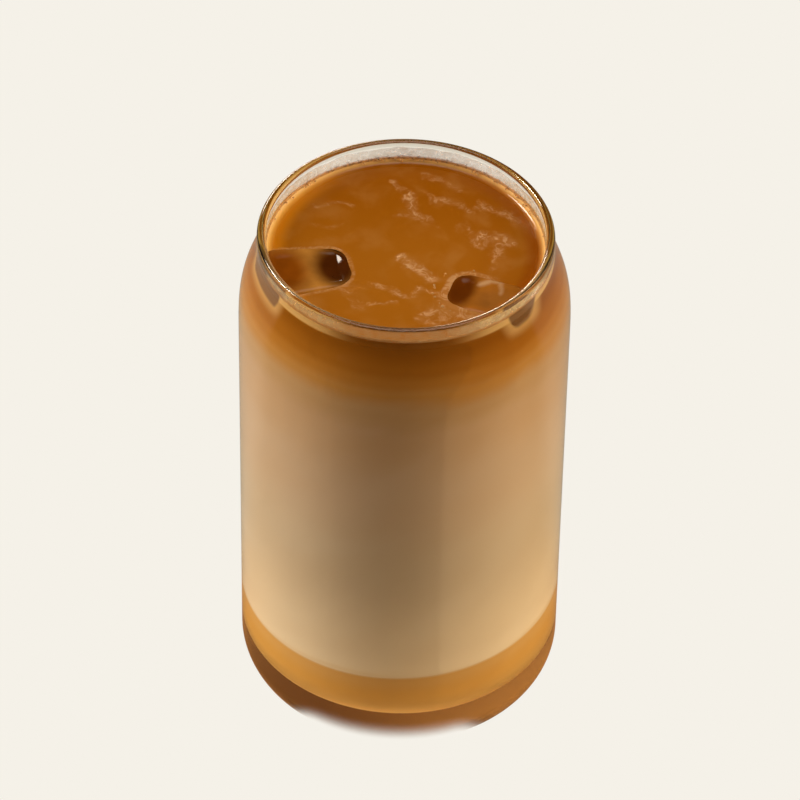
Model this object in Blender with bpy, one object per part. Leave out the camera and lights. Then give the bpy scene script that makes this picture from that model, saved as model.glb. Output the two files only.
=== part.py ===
"""An iced white mocha in a can-shaped glass: glass, three layers of drink and two ice cubes.

Metres, +Z up. The origin is the centre of the glass's underside, on the surface that it stands on.
The viewer of the drink stands at -Y, so the two ice cubes float at the front, left and right.
"""

import math

import bmesh
import bpy
from mathutils import Euler, Matrix

# The glass holds about 16 fluid ounces, the usual size of this can-shaped tumbler.
GLASS_HEIGHT = 0.133
BODY_RADIUS = 0.0381
RIM_RADIUS = 0.0338
WALL = 0.0020
LIP_RADIUS = WALL / 2
LIP_Z = GLASS_HEIGHT - LIP_RADIUS

# The shoulder draws in from the body like the top of a can, up to a short straight neck.
# The higher the power, the later and the more tightly it bends.
SHOULDER_START = 0.1021
NECK_HEIGHT = 0.0031
NECK_START = LIP_Z - NECK_HEIGHT
SHOULDER_POWER = 5.2

# The heavy base: a rounded heel outside, a rounded corner inside, a shallow hollow underneath.
HEEL_WIDTH = 0.0104
HEEL_HEIGHT = 0.0105
HOLLOW_RADIUS = 0.0245
HOLLOW_DEPTH = 0.0012
FLOOR_Z = 0.0118
CORNER_WIDTH = 0.0080
CORNER_HEIGHT = 0.0070

# The drink's layers, from the floor up: sweet sauce and coffee, milk, then espresso.
BASE_TOP = 0.0273
MILK_TOP = 0.1160
DRINK_TOP = 0.1274

# Pieces that touch keep this much air between their solids.
GAP = 0.0003

TURNED_SIDES = 64
HEEL_STEPS = 6
SHOULDER_STEPS = 13
LIP_STEPS = 6
CORNER_STEPS = 6
HOLLOW_STEPS = 4
MELTED_STEPS = 4

# The ice: each cube's foot has melted this much narrower than its top, which has a shallow dent.
MELTED_FOOT = 0.20
DENT_MARGIN = 0.0018

# Each cube: centre, half sizes, turn in degrees about X, Y and Z, how much narrower its +X end is
# than its middle, how round its upright corners and its top and bottom edges have melted, how deep
# its dent is, and how far from the axis it reaches where the wall does not stop it sooner.
ICE_CUBES = {
    "ice_cube_left": {
        "centre": (-0.0220, -0.0073, 0.1177),
        "half_size": (0.0104, 0.0082, 0.0104),
        "turn": (-1.0, 0.6, 12.0),
        "taper": 0.15,
        "corner": 0.0046,
        "edge": 0.0020,
        "dent": 0.0003,
        "reach": 0.0325,
    },
    "ice_cube_right": {
        "centre": (0.0183, -0.0150, 0.1176),
        "half_size": (0.0100, 0.0067, 0.0103),
        "turn": (0.8, -0.8, -19.0),
        "taper": 0.05,
        "corner": 0.0049,
        "edge": 0.0022,
        "dent": 0.0002,
        "reach": 0.0331,
    },
}


def material(name, colour, roughness, metallic=0.0, transmission=0.0):
    """A Principled material of one plain colour."""
    made = bpy.data.materials.new(name)
    made.use_nodes = True
    shader = made.node_tree.nodes["Principled BSDF"]
    shader.inputs["Base Color"].default_value = (*colour, 1.0)
    shader.inputs["Roughness"].default_value = roughness
    shader.inputs["Metallic"].default_value = metallic
    shader.inputs["Transmission Weight"].default_value = transmission
    return made


def outer_radius(z):
    """The glass's outside above its heel: a straight body, the shoulder, a straight neck."""
    share = (z - SHOULDER_START) / (NECK_START - SHOULDER_START)
    share = min(1.0, max(0.0, share))
    bend = share**SHOULDER_POWER * (1 + SHOULDER_POWER * (1 - share))
    return BODY_RADIUS - (BODY_RADIUS - RIM_RADIUS) * bend


def inner_radius(z):
    """The glass's inside above its floor's rounded corner."""
    return outer_radius(z) - WALL


def shoulder_heights(bottom, top):
    """Heights along the wall from bottom to top, close together only where the shoulder bends."""
    step = (NECK_START - SHOULDER_START) / SHOULDER_STEPS
    bends = [SHOULDER_START + step * i for i in range(SHOULDER_STEPS + 1)]
    clear = step / 4
    return [bottom, *(z for z in bends if bottom + clear < z < top - clear), top]


def quarter_ellipse(centre, width, height, steps):
    """Points from straight below the centre round to straight outside it."""
    angles = [math.pi / 2 * i / steps for i in range(steps + 1)]
    return [
        (centre[0] + width * math.sin(a), centre[1] - height * math.cos(a)) for a in angles
    ]


def hollow_underneath():
    """The shallow dome under the base, from the axis out to the ring that the glass stands on."""
    outline = []
    for i in range(HOLLOW_STEPS + 1):
        share = i / HOLLOW_STEPS
        outline.append((HOLLOW_RADIUS * share, HOLLOW_DEPTH * (1 - share**2)))
    return outline


def floor_corner(inset):
    """The inside floor and its rounded corner, moved into the drink by inset."""
    centre = (BODY_RADIUS - WALL - CORNER_WIDTH, FLOOR_Z + CORNER_HEIGHT)
    return quarter_ellipse(centre, CORNER_WIDTH - inset, CORNER_HEIGHT - inset, CORNER_STEPS)


def glass_outline():
    """The glass's section from the axis underneath, up the outside, over the lip and down inside."""
    heel_centre = (BODY_RADIUS - HEEL_WIDTH, HEEL_HEIGHT)
    heel = quarter_ellipse(heel_centre, HEEL_WIDTH, HEEL_HEIGHT, HEEL_STEPS)
    heights = shoulder_heights(SHOULDER_START, LIP_Z)
    outside = [(outer_radius(z), z) for z in heights]
    lip_angles = [math.pi * i / LIP_STEPS for i in range(1, LIP_STEPS)]
    lip_middle = RIM_RADIUS - LIP_RADIUS
    lip = [
        (lip_middle + LIP_RADIUS * math.cos(a), LIP_Z + LIP_RADIUS * math.sin(a))
        for a in lip_angles
    ]
    inside = [(inner_radius(z), z) for z in reversed(heights)]
    floor = list(reversed(floor_corner(0.0)))
    return [*hollow_underneath(), *heel, *outside, *lip, *inside, *floor, (0.0, FLOOR_Z)]


def layer_outline(bottom, top):
    """The section of a layer of drink between two heights of the straight wall or the shoulder."""
    side = [(inner_radius(z) - GAP, z) for z in shoulder_heights(bottom, top)]
    return [(0.0, bottom), *side, (0.0, top)]


def base_layer_outline():
    """The section of the lowest layer, which fills the rounded corner of the floor."""
    bottom = FLOOR_Z + GAP
    side = (inner_radius(BASE_TOP) - GAP, BASE_TOP)
    return [(0.0, bottom), *floor_corner(GAP), side, (0.0, BASE_TOP)]


def new_object(name, mesh_maker, surface):
    """An object made from a bmesh, shaded smooth with its sharp edges kept."""
    mesh = bpy.data.meshes.new(name)
    mesh_maker.to_mesh(mesh)
    mesh_maker.free()
    mesh.shade_smooth()
    mesh.set_sharp_from_angle(angle=math.radians(40))
    mesh.materials.append(surface)
    made = bpy.data.objects.new(name, mesh)
    bpy.context.scene.collection.objects.link(made)
    return made


def turned(name, outline, surface):
    """A solid turned about the Z axis from its section, which starts and ends on the axis."""
    maker = bmesh.new()
    corners = [maker.verts.new((r, 0.0, z)) for r, z in outline]
    edges = [maker.edges.new(pair) for pair in zip(corners, corners[1:])]
    bmesh.ops.spin(
        maker,
        geom=[*corners, *edges],
        axis=(0, 0, 1),
        cent=(0, 0, 0),
        steps=TURNED_SIDES,
        angle=2 * math.pi,
    )
    bmesh.ops.remove_doubles(maker, verts=maker.verts, dist=1e-6)
    bmesh.ops.recalc_face_normals(maker, faces=maker.faces)
    return new_object(name, maker, surface)


def boolean(target, other, operation):
    """Applies a Boolean on target at once, and removes the other object."""
    modifier = target.modifiers.new(operation.title(), "BOOLEAN")
    modifier.operation = operation
    modifier.solver = "EXACT"
    modifier.object = other
    graph = bpy.context.evaluated_depsgraph_get()
    mesh = bpy.data.meshes.new_from_object(target.evaluated_get(graph))
    target.modifiers.clear()
    target.data = mesh
    bpy.data.objects.remove(other)


def room_for_ice(reach, grow, surface):
    """The room in the glass for a cube: up to its reach, or to a gap short of the wall."""
    heights = shoulder_heights(FLOOR_Z + CORNER_HEIGHT, LIP_Z)
    side = [(min(reach, inner_radius(z) - GAP) + grow, z) for z in heights]
    return turned("room_for_ice", [(0.0, heights[0]), *side, (0.0, LIP_Z)], surface)


def melt_edges(maker, edges, radius):
    """Rounds the given edges of a cube."""
    bmesh.ops.bevel(
        maker,
        geom=edges,
        offset=radius,
        segments=MELTED_STEPS,
        profile=0.5,
        affect="EDGES",
    )
    maker.normal_update()


def ice_cube(name, cube, grow, surface):
    """A tapered cube with melted edges and a dented top, grown all round by grow."""
    long, wide, tall = (side + grow for side in cube["half_size"])
    maker = bmesh.new()
    bmesh.ops.create_cube(maker, size=2.0)
    for corner in maker.verts:
        x, y, z = corner.co
        girth = 1 - MELTED_FOOT * (1 - z) / 2
        corner.co = (x * long * girth, y * wide * girth * (1 - cube["taper"] * x), z * tall)
    upright = [e for e in maker.edges if abs(e.verts[0].co.z - e.verts[1].co.z) > tall]
    melt_edges(maker, upright, cube["corner"] + grow)
    top = max(maker.faces, key=lambda face: face.calc_center_median().z)
    bottom = min(maker.faces, key=lambda face: face.calc_center_median().z)
    melt_edges(maker, [*top.edges, *bottom.edges], cube["edge"] + grow)
    top = max(maker.faces, key=lambda face: face.calc_center_median().z)
    bmesh.ops.inset_individual(maker, faces=[top], thickness=DENT_MARGIN, depth=-cube["dent"])
    turn = Euler([math.radians(a) for a in cube["turn"]]).to_matrix().to_4x4()
    bmesh.ops.transform(
        maker, matrix=Matrix.Translation(cube["centre"]) @ turn, verts=maker.verts
    )
    made = new_object(name, maker, surface)
    boolean(made, room_for_ice(cube["reach"], grow, surface), "INTERSECT")
    return made


def build():
    glass = material("clear_glass", (0.94, 0.95, 0.93), 0.03, transmission=1.0)
    base = material("sweet_base", (0.52, 0.24, 0.05), 0.35)
    milk = material("coffee_milk", (0.62, 0.42, 0.22), 0.40)
    coffee = material("espresso", (0.36, 0.12, 0.01), 0.25)
    ice = material("ice", (0.85, 0.88, 0.90), 0.08, transmission=0.9)

    turned("glass", glass_outline(), glass)
    turned("base_layer", base_layer_outline(), base)
    layers = [
        turned("milk_layer", layer_outline(BASE_TOP + GAP, MILK_TOP), milk),
        turned("coffee_layer", layer_outline(MILK_TOP + GAP, DRINK_TOP), coffee),
    ]
    for name, cube in ICE_CUBES.items():
        ice_cube(name, cube, 0.0, ice)
        for layer in layers:
            boolean(layer, ice_cube("melt_space", cube, GAP, ice), "DIFFERENCE")


for leftover in list(bpy.data.objects):
    bpy.data.objects.remove(leftover)
build()
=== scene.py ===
import math
import random

import bpy
from mathutils import Matrix, Vector, noise


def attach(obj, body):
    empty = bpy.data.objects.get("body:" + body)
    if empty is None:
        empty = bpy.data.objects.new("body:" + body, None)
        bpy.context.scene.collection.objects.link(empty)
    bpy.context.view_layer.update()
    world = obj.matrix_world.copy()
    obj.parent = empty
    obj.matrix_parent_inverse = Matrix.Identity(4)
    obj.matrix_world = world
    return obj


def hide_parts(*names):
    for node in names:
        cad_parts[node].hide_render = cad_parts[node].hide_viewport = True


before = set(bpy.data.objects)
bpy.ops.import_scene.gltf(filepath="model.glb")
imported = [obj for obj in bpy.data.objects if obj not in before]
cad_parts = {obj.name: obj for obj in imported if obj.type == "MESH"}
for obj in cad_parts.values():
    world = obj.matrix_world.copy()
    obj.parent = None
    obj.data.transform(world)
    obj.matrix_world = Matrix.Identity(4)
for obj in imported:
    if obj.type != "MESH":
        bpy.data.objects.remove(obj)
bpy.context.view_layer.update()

# The camera looks down on the glass from the front, as a person who stands at the table does.
# It is far away with a long lens, so the glass's sides stay nearly parallel.
CAMERA_PLACE = Vector((0.0, -0.835192, 0.848633))
CAMERA_TARGET = Vector((-0.000685, 0.0, 0.081495))
CAMERA_ROLL = math.radians(1.041)
CAMERA_LENS = 218.8

bpy.ops.object.select_all(action="DESELECT")
bpy.ops.object.camera_add(location=CAMERA_PLACE)
camera = bpy.context.object
camera.name = "studio_camera"
camera.data.lens = CAMERA_LENS
camera.data.sensor_width = 36.0
camera.data.clip_end = 20.0
facing = (CAMERA_TARGET - CAMERA_PLACE).to_track_quat("-Z", "Y").to_matrix().to_4x4()
roll = Matrix.Rotation(CAMERA_ROLL, 4, "Z")
camera.matrix_world = Matrix.Translation(CAMERA_PLACE) @ facing @ roll
bpy.context.scene.camera = camera
bpy.context.scene.view_settings.view_transform = "Standard"


# The floor is a wide sheet of warm pale paper. It shows its own tone to the eye and through clear
# glass. It sends only a little warm light back up, most of it from close to the foot of the glass.
FLOOR_SIZE = 9.0
FLOOR_DROP = 0.0002
PAPER = (245, 241, 232)
PAPER_BOUNCE = (74, 66, 58)
PAPER_GLEAM = (58, 46, 36)
FOOT_BOUNCE = (250, 226, 192)
FOOT_GLEAM = (176, 120, 66)
BEHIND_GLEAM = (160, 148, 132)
FOOT_NEAR = 0.036
FOOT_FAR = 0.110
BEHIND_START = 0.0
BEHIND_FULL = 0.05
FOOT_STRENGTH = 1.5
ONE_BOUNCE = 0.5


def tone(red, green, blue):
    """A colour for a socket, from the 0 to 255 values that a paint chart gives."""
    channels = [v / 255 for v in (red, green, blue)]
    return (*[v / 12.92 if v < 0.04045 else ((v + 0.055) / 1.055) ** 2.4 for v in channels], 1.0)


def new_material(name):
    """A node material with its Principled shader, ready to be filled."""
    made = bpy.data.materials.new(name)
    made.use_nodes = True
    return made, made.node_tree, made.node_tree.nodes["Principled BSDF"]


def add(tree, kind, values=None, **settings):
    """A node with its settings, and its inputs given as values or as the sockets that feed them."""
    made = tree.nodes.new(kind)
    for key, value in settings.items():
        setattr(made, key, value)
    for key, value in (values or {}).items():
        if isinstance(value, bpy.types.NodeSocket):
            tree.links.new(value, made.inputs[key])
        else:
            made.inputs[key].default_value = value
    return made


def calc(tree, operation, *values):
    """The result of a sum on values or sockets."""
    return add(tree, "ShaderNodeMath", dict(enumerate(values)), operation=operation).outputs[0]


def ease(tree, value, start, end, low=0.0, high=1.0):
    """A value that runs smoothly from low at start to high at end."""
    wanted = {"Value": value, "From Min": start, "From Max": end, "To Min": low, "To Max": high}
    made = add(tree, "ShaderNodeMapRange", wanted, interpolation_type="SMOOTHSTEP")
    return made.outputs[0]


def blend(tree, share, under, over):
    """A colour between two others: under where share is 0, over where it is 1."""
    made = add(tree, "ShaderNodeMix", {0: share, 6: under, 7: over}, data_type="RGBA")
    return made.outputs[2]


def object_place(tree):
    """The place on the piece as a vector, its X, Y and Z, and its distance from the axis."""
    place = add(tree, "ShaderNodeTexCoord").outputs["Object"]
    split = add(tree, "ShaderNodeSeparateXYZ", {0: place}).outputs
    flat = add(tree, "ShaderNodeCombineXYZ", {0: split[0], 1: split[1]}).outputs[0]
    out = add(tree, "ShaderNodeVectorMath", {0: flat}, operation="LENGTH").outputs["Value"]
    return place, split[0], split[1], split[2], out


bpy.ops.object.select_all(action="DESELECT")
bpy.ops.mesh.primitive_plane_add(size=FLOOR_SIZE, location=(0, 0, -FLOOR_DROP))
floor = bpy.context.object
floor.name = "paper_floor"
bpy.ops.object.transform_apply(location=True)
paper, tree, paper_shader = new_material("pale_paper")
tree.nodes.remove(paper_shader)
path = add(tree, "ShaderNodeLightPath")
place, x, y, z, out = object_place(tree)
away = ease(tree, out, FOOT_NEAR, FOOT_FAR)
bounced = calc(tree, "GREATER_THAN", path.outputs["Diffuse Depth"], ONE_BOUNCE)
mirrored = calc(tree, "GREATER_THAN", path.outputs["Glossy Depth"], ONE_BOUNCE)
# In reflections the paper shows a painted reflection tone: warm brown near the foot, dark farther
# off and pale grey behind.
gleam = blend(tree, away, tone(*FOOT_GLEAM), tone(*PAPER_GLEAM))
gleam = blend(tree, ease(tree, y, BEHIND_START, BEHIND_FULL), gleam, tone(*BEHIND_GLEAM))
bounce = blend(tree, away, tone(*FOOT_BOUNCE), tone(*PAPER_BOUNCE))
seen = blend(tree, mirrored, tone(*PAPER), gleam)
sent = blend(tree, bounced, seen, bounce)
lift = calc(tree, "MULTIPLY", bounced, ease(tree, out, FOOT_FAR, FOOT_NEAR))
strength = calc(tree, "MULTIPLY_ADD", lift, FOOT_STRENGTH - 1, 1.0)
glow = add(tree, "ShaderNodeEmission", {"Color": sent, "Strength": strength})
tree.links.new(glow.outputs[0], tree.nodes["Material Output"].inputs["Surface"])
floor.data.materials.append(paper)


# The light is soft: one large panel on each side, the left one a little behind the glass, one
# overhead and a warm card low in front. The room is dark, apart from a broad glow at each side, a
# soft box high up and three small windows, which show only as glints on the lip, ice and drink.
PANEL_DISTANCE = 1.1
PANELS = {
    # name: (degrees round from the front, height, side, watts, colour)
    "left_panel": (-101, 0.50, 0.8, 14.8, (255, 252, 250)),
    "right_panel": (90, 0.52, 0.8, 12.8, (255, 248, 238)),
    "front_card": (14, 0.24, 0.6, 1.9, (255, 232, 210)),
}
TOP_HEIGHT = 1.5
TOP_SIDE = 0.9
TOP_WATTS = 7.8
TOP_TONE = (255, 244, 226)
ROOM_TONE = (255, 244, 228)
ROOM_GLOW = 0.55
ROOM_FOCUS = 5.0
ROOM_DARK = 0.012
LAMP_SPREAD = (0.84, 0.97)
LAMP_GLINT = 2.6
WINDOWS = [
    # way to it, how sharp its edge is, strength
    ((-0.50, 0.47, 0.727), (0.984, 0.993), 34.0),
    ((-0.35, 0.89, 0.293), (0.991, 0.996), 18.0),
    ((-0.20, 0.97, 0.135), (0.984, 0.993), 14.0),
]


def panel(name, place, side, watts, colour):
    """A square soft light that faces the middle of the glass and shows in no reflection."""
    bpy.ops.object.light_add(type="AREA", location=place)
    made = bpy.context.object
    made.name = name
    made.data.shape = "SQUARE"
    made.data.size = side
    made.data.energy = watts
    made.data.color = tone(*colour)[:3]
    aim = (CAMERA_TARGET - Vector(place)).to_track_quat("-Z", "Y")
    made.rotation_euler = aim.to_euler()
    made.visible_glossy = False
    made.visible_transmission = False


for name, (degrees, height, side, watts, colour) in PANELS.items():
    way = math.radians(degrees)
    place = (PANEL_DISTANCE * math.sin(way), -PANEL_DISTANCE * math.cos(way), height)
    panel(name, place, side, watts, colour)
panel("top_panel", (0.0, 0.0, TOP_HEIGHT), TOP_SIDE, TOP_WATTS, TOP_TONE)

room = bpy.data.worlds.new("studio_room")
bpy.context.scene.world = room
room.use_nodes = True
room.cycles_visibility.transmission = False
tree = room.node_tree
tree.nodes.clear()
path = add(tree, "ShaderNodeLightPath").outputs
ways = add(tree, "ShaderNodeTexCoord").outputs["Generated"]
split = add(tree, "ShaderNodeSeparateXYZ", {0: ways}).outputs
focus = calc(tree, "POWER", calc(tree, "ABSOLUTE", split["X"]), ROOM_FOCUS)
glow = calc(tree, "MULTIPLY_ADD", focus, ROOM_GLOW, ROOM_DARK)
lamp = calc(tree, "MULTIPLY", ease(tree, split["Z"], *LAMP_SPREAD), LAMP_GLINT)
for way, spread, glint in WINDOWS:
    facing = add(tree, "ShaderNodeVectorMath", {0: ways, 1: way}, operation="DOT_PRODUCT")
    lamp = calc(tree, "ADD", lamp, ease(tree, facing.outputs["Value"], *spread, 0.0, glint))
glint = calc(tree, "MULTIPLY", lamp, path["Is Glossy Ray"])
strength = calc(tree, "ADD", glow, glint)
lit = add(tree, "ShaderNodeBackground", {"Color": tone(*ROOM_TONE), "Strength": strength})
pale = add(tree, "ShaderNodeBackground", {"Color": tone(*PAPER), "Strength": 1.0})
both = {0: path["Is Camera Ray"], 1: lit.outputs[0], 2: pale.outputs[0]}
shown = add(tree, "ShaderNodeMixShader", both)
add(tree, "ShaderNodeOutputWorld", {"Surface": shown.outputs[0]})


# The glass is clear soda glass, blown in a mould like a drinks can: straight body, shoulder drawn
# in to a fire-rounded lip, rounded heel, and a thick base with a shallow hollow underneath.
GLASS_HEIGHT = 0.133
BODY_RADIUS = 0.0381
RIM_RADIUS = 0.0338
WALL = 0.0020
LIP_RADIUS = WALL / 2
LIP_Z = GLASS_HEIGHT - LIP_RADIUS
SHOULDER_START = 0.1021
NECK_HEIGHT = 0.0031
NECK_START = LIP_Z - NECK_HEIGHT
SHOULDER_POWER = 5.2
HEEL_WIDTH = 0.0104
HEEL_HEIGHT = 0.0105
HOLLOW_RADIUS = 0.0245
HOLLOW_DEPTH = 0.0012
FLOOR_Z = 0.0118
CORNER_WIDTH = 0.0080
CORNER_HEIGHT = 0.0070
GLASS_SIDES = 192
HOLLOW_STEPS = 12
HEEL_STEPS = 24
SHOULDER_STEPS = 48
LIP_STEPS = 24
CORNER_STEPS = 20
WELD = 1e-6
SHARP_EDGE = math.radians(40)
GLASS_TONE = (0.970, 0.948, 0.905, 1.0)
GLASS_SHADOW = (0.96, 0.955, 0.94, 1.0)
GLASS_BENDS_LIGHT = 1.5

# The lip is thick to look through, and what shows in it is a painted reflection of the drink
# and the dark room: bronze at the back, olive at the sides.
LIP_BACK_REFLECTION = (0.42, 0.36, 0.20, 1.0)
LIP_SIDE_REFLECTION = (0.17, 0.18, 0.06, 1.0)
LIP_BACK_TURN = (0.4, 0.9)
LIP_REFLECTION_HEIGHTS = (0.1302, 0.1318)
LIP_REFLECTION_TURN = (-0.65, -0.20)
LIP_REFLECTION_OUT = (0.0319, 0.0326)

# At the very front the heel fades into the paper under it, a little further on the left.
HEEL_FADE_HEIGHTS = (0.0137, 0.0037)
HEEL_FADE_TURN = (-0.68, -0.90)
HEEL_FADE_LEAN = 0.087
HEEL_FADE_OUT = (0.0225, 0.0262)
HEEL_FAINT = 0.0


def outer_radius(z):
    """The glass's outside above its heel: a straight body, the shoulder, a straight neck."""
    share = (z - SHOULDER_START) / (NECK_START - SHOULDER_START)
    share = min(1.0, max(0.0, share))
    bend = share**SHOULDER_POWER * (1 + SHOULDER_POWER * (1 - share))
    return BODY_RADIUS - (BODY_RADIUS - RIM_RADIUS) * bend


def inner_radius(z):
    """The glass's inside above the rounded corner of its floor."""
    return outer_radius(z) - WALL


def steps_between(low, high, count):
    """Even steps from low to high, both ends among them."""
    return [low + (high - low) * i / count for i in range(count + 1)]


def quarter_ellipse(centre, width, height, count):
    """Points from straight below the centre round to straight outside it."""
    angles = steps_between(0.0, math.pi / 2, count)
    return [(centre[0] + width * math.sin(a), centre[1] - height * math.cos(a)) for a in angles]


def floor_corner(spread):
    """The rounded corner of the inside floor, pushed into the glass by spread."""
    centre = (BODY_RADIUS - WALL - CORNER_WIDTH, FLOOR_Z + CORNER_HEIGHT)
    return quarter_ellipse(centre, CORNER_WIDTH + spread, CORNER_HEIGHT + spread, CORNER_STEPS)


def turned(name, section, sides=GLASS_SIDES):
    """A piece spun round the upright axis from its section, its seam and poles closed."""
    bpy.ops.object.select_all(action="DESELECT")
    start = section[0]
    bpy.ops.mesh.primitive_plane_add(size=0.001, location=(start[0], 0.0, start[1]))
    made = bpy.context.object
    made.name = name
    bpy.ops.object.mode_set(mode="EDIT")
    bpy.ops.mesh.select_mode(type="VERT")
    bpy.ops.mesh.merge(type="CENTER")
    for (r0, z0), (r1, z1) in zip(section, section[1:]):
        step = {"value": (r1 - r0, 0.0, z1 - z0)}
        bpy.ops.mesh.extrude_region_move(TRANSFORM_OT_translate=step)
    bpy.ops.mesh.select_all(action="SELECT")
    bpy.ops.mesh.spin(steps=sides, angle=2 * math.pi, center=(0, 0, 0), axis=(0, 0, 1))
    bpy.ops.mesh.select_all(action="SELECT")
    bpy.ops.mesh.remove_doubles(threshold=WELD)
    bpy.ops.mesh.normals_make_consistent(inside=False)
    bpy.ops.object.mode_set(mode="OBJECT")
    bpy.ops.object.transform_apply(location=True)
    bpy.ops.object.shade_smooth_by_angle(angle=SHARP_EDGE)
    return made


underneath = [
    (r, HOLLOW_DEPTH * (1 - (r / HOLLOW_RADIUS) ** 2))
    for r in steps_between(0.0, HOLLOW_RADIUS, HOLLOW_STEPS)
]
heel_centre = (BODY_RADIUS - HEEL_WIDTH, HEEL_HEIGHT)
heel = quarter_ellipse(heel_centre, HEEL_WIDTH, HEEL_HEIGHT, HEEL_STEPS)
heights = steps_between(SHOULDER_START, LIP_Z, SHOULDER_STEPS)
outside = [(outer_radius(z), z) for z in heights]
lip = [
    (RIM_RADIUS - LIP_RADIUS + LIP_RADIUS * math.cos(a), LIP_Z + LIP_RADIUS * math.sin(a))
    for a in steps_between(0.0, math.pi, LIP_STEPS)[1:-1]
]
inside = [(inner_radius(z), z) for z in reversed(heights)]
floor_inside = list(reversed(floor_corner(0.0)))
section = [*underneath, *heel, *outside, *lip, *inside, *floor_inside, (0.0, FLOOR_Z)]
glass = turned("can_glass", section)

clear, tree, shader = new_material("clear_glass")
place, x, y, z, out = object_place(tree)
turn = calc(tree, "DIVIDE", y, out)
at_back = ease(tree, calc(tree, "ABSOLUTE", turn), *LIP_BACK_TURN)
lip_reflection = blend(tree, at_back, LIP_SIDE_REFLECTION, LIP_BACK_REFLECTION)
# The painted reflection covers the lip's top at the sides and the back, and none of the front.
tint = calc(tree, "MULTIPLY", ease(tree, z, *LIP_REFLECTION_HEIGHTS), ease(tree, turn, *LIP_REFLECTION_TURN))
tint = calc(tree, "MULTIPLY", tint, ease(tree, out, *LIP_REFLECTION_OUT))
tree.links.new(blend(tree, tint, GLASS_TONE, lip_reflection), shader.inputs["Base Color"])
leaned = calc(tree, "DIVIDE", calc(tree, "MULTIPLY_ADD", x, HEEL_FADE_LEAN, y), out)
in_front = ease(tree, leaned, *HEEL_FADE_TURN)
faint = calc(tree, "MULTIPLY", in_front, ease(tree, z, *HEEL_FADE_HEIGHTS))
faint = calc(tree, "MULTIPLY", faint, ease(tree, out, *HEEL_FADE_OUT))
tree.links.new(ease(tree, faint, 0.0, 1.0, 1.0, HEEL_FAINT), shader.inputs["Alpha"])
shader.inputs["Roughness"].default_value = 0.0
shader.inputs["IOR"].default_value = GLASS_BENDS_LIGHT
shader.inputs["Transmission Weight"].default_value = 1.0


def light_passes(tree, shader, colour):
    """Lets light pass straight through a clear material, so that what is behind it is lit."""
    shadow = add(tree, "ShaderNodeLightPath").outputs["Is Shadow Ray"]
    straight = add(tree, "ShaderNodeBsdfTransparent", {"Color": colour})
    both = {0: shadow, 1: shader.outputs[0], 2: straight.outputs[0]}
    mixed = add(tree, "ShaderNodeMixShader", both)
    tree.links.new(mixed.outputs[0], tree.nodes["Material Output"].inputs["Surface"])


light_passes(tree, shader, GLASS_SHADOW)
glass.data.materials.append(clear)
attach(glass, "root")
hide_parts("glass")


# The ice cubes float at the surface and lean on the wall. They are half melted: round edges, a
# narrower foot, hollows in the top. A thin film of coffee covers them and pools in their hollows,
# which are painted darker still as shade.
DRINK_TOP = 0.1274
MELTED_FOOT = 0.20
REACH = 0.0001
CUBE_OVERLAP = 0.0003
SURFACE_INSET = 0.0005
ICE_GRAIN = 0.0004
MELTED_STEPS = 8
CUT_EDGE = math.radians(45)
ROOM_STEPS = 50
ROOM_SIDES = 96
LUMP_SIZE = 0.005
LUMP_DEPTH = 0.00015
LUMP_SHIFT = 100
DENT_START = 0.55
DENT_RUN = 0.4
HOLLOW_EDGE = 0.0035
HOLLOW_FALL = 1.3
HOLLOW_SHADE_EDGE = (1.25, 0.45)
WALL_EDGE_BOTTOM = 0.1262
WALL_EDGE_TOP = DRINK_TOP + 0.0006
WALL_EDGE_MELTED = 0.0014
WALL_FACE = (0.0308, 0.0316)
WALL_ICE_HEIGHTS = (0.1232, 0.1246)
WALL_COFFEE = (164, 98, 22)
ICE_CLEARNESS = 0.15
ICE_BENDS_LIGHT = 1.31
ICE_SHADOW = (0.5, 0.4, 0.3, 1.0)
ICE_SHADES = (0.90, 1.10)
ICE_ROUGHNESS = 0.08
STROKE_EDGE = 1.45
ICE_CUBES = {
    "ice_cube_left": {
        "centre": (-0.0220, -0.0073, 0.1177),
        "half_size": (0.0104, 0.0082, 0.0104),
        "turn": (-1.0, 0.6, 12.0),
        "taper": 0.15,
        "corner": 0.0046,
        "edge": 0.0020,
        "reach": 0.0325,
        # each hollow: place along and across the cube, half sizes, depth, colour with painted shade
        "hollows": [
            (-0.0055, 0.0006, 0.0062, 0.0090, 0.0008, (140, 72, 8)),
            (0.0066, 0.0004, 0.0058, 0.0084, 0.0013, (74, 33, 4)),
        ],
        "top_tone": (184, 122, 48),
        "wall_tone": (158, 114, 72),
    },
    "ice_cube_right": {
        "centre": (0.0183, -0.0150, 0.1176),
        "half_size": (0.0100, 0.0067, 0.0103),
        "turn": (0.8, -0.8, -19.0),
        "taper": 0.05,
        "corner": 0.0049,
        "edge": 0.0022,
        "reach": 0.0331,
        "hollows": [
            (-0.0062, 0.0004, 0.0038, 0.0076, 0.0010, (104, 48, 4)),
            (0.0030, -0.0012, 0.0052, 0.0040, 0.0005, (160, 98, 36)),
        ],
        "top_tone": (168, 100, 30),
        "wall_tone": (166, 116, 64),
    },
}


def open_with(made, wanted):
    """Opens a piece in edit mode with only those edges selected that pass a test."""
    bpy.ops.object.mode_set(mode="EDIT")
    bpy.ops.mesh.select_mode(type="EDGE")
    bpy.ops.mesh.select_all(action="DESELECT")
    bpy.ops.object.mode_set(mode="OBJECT")
    for edge in made.data.edges:
        edge.select = wanted(edge)
    bpy.ops.object.mode_set(mode="EDIT")


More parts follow.
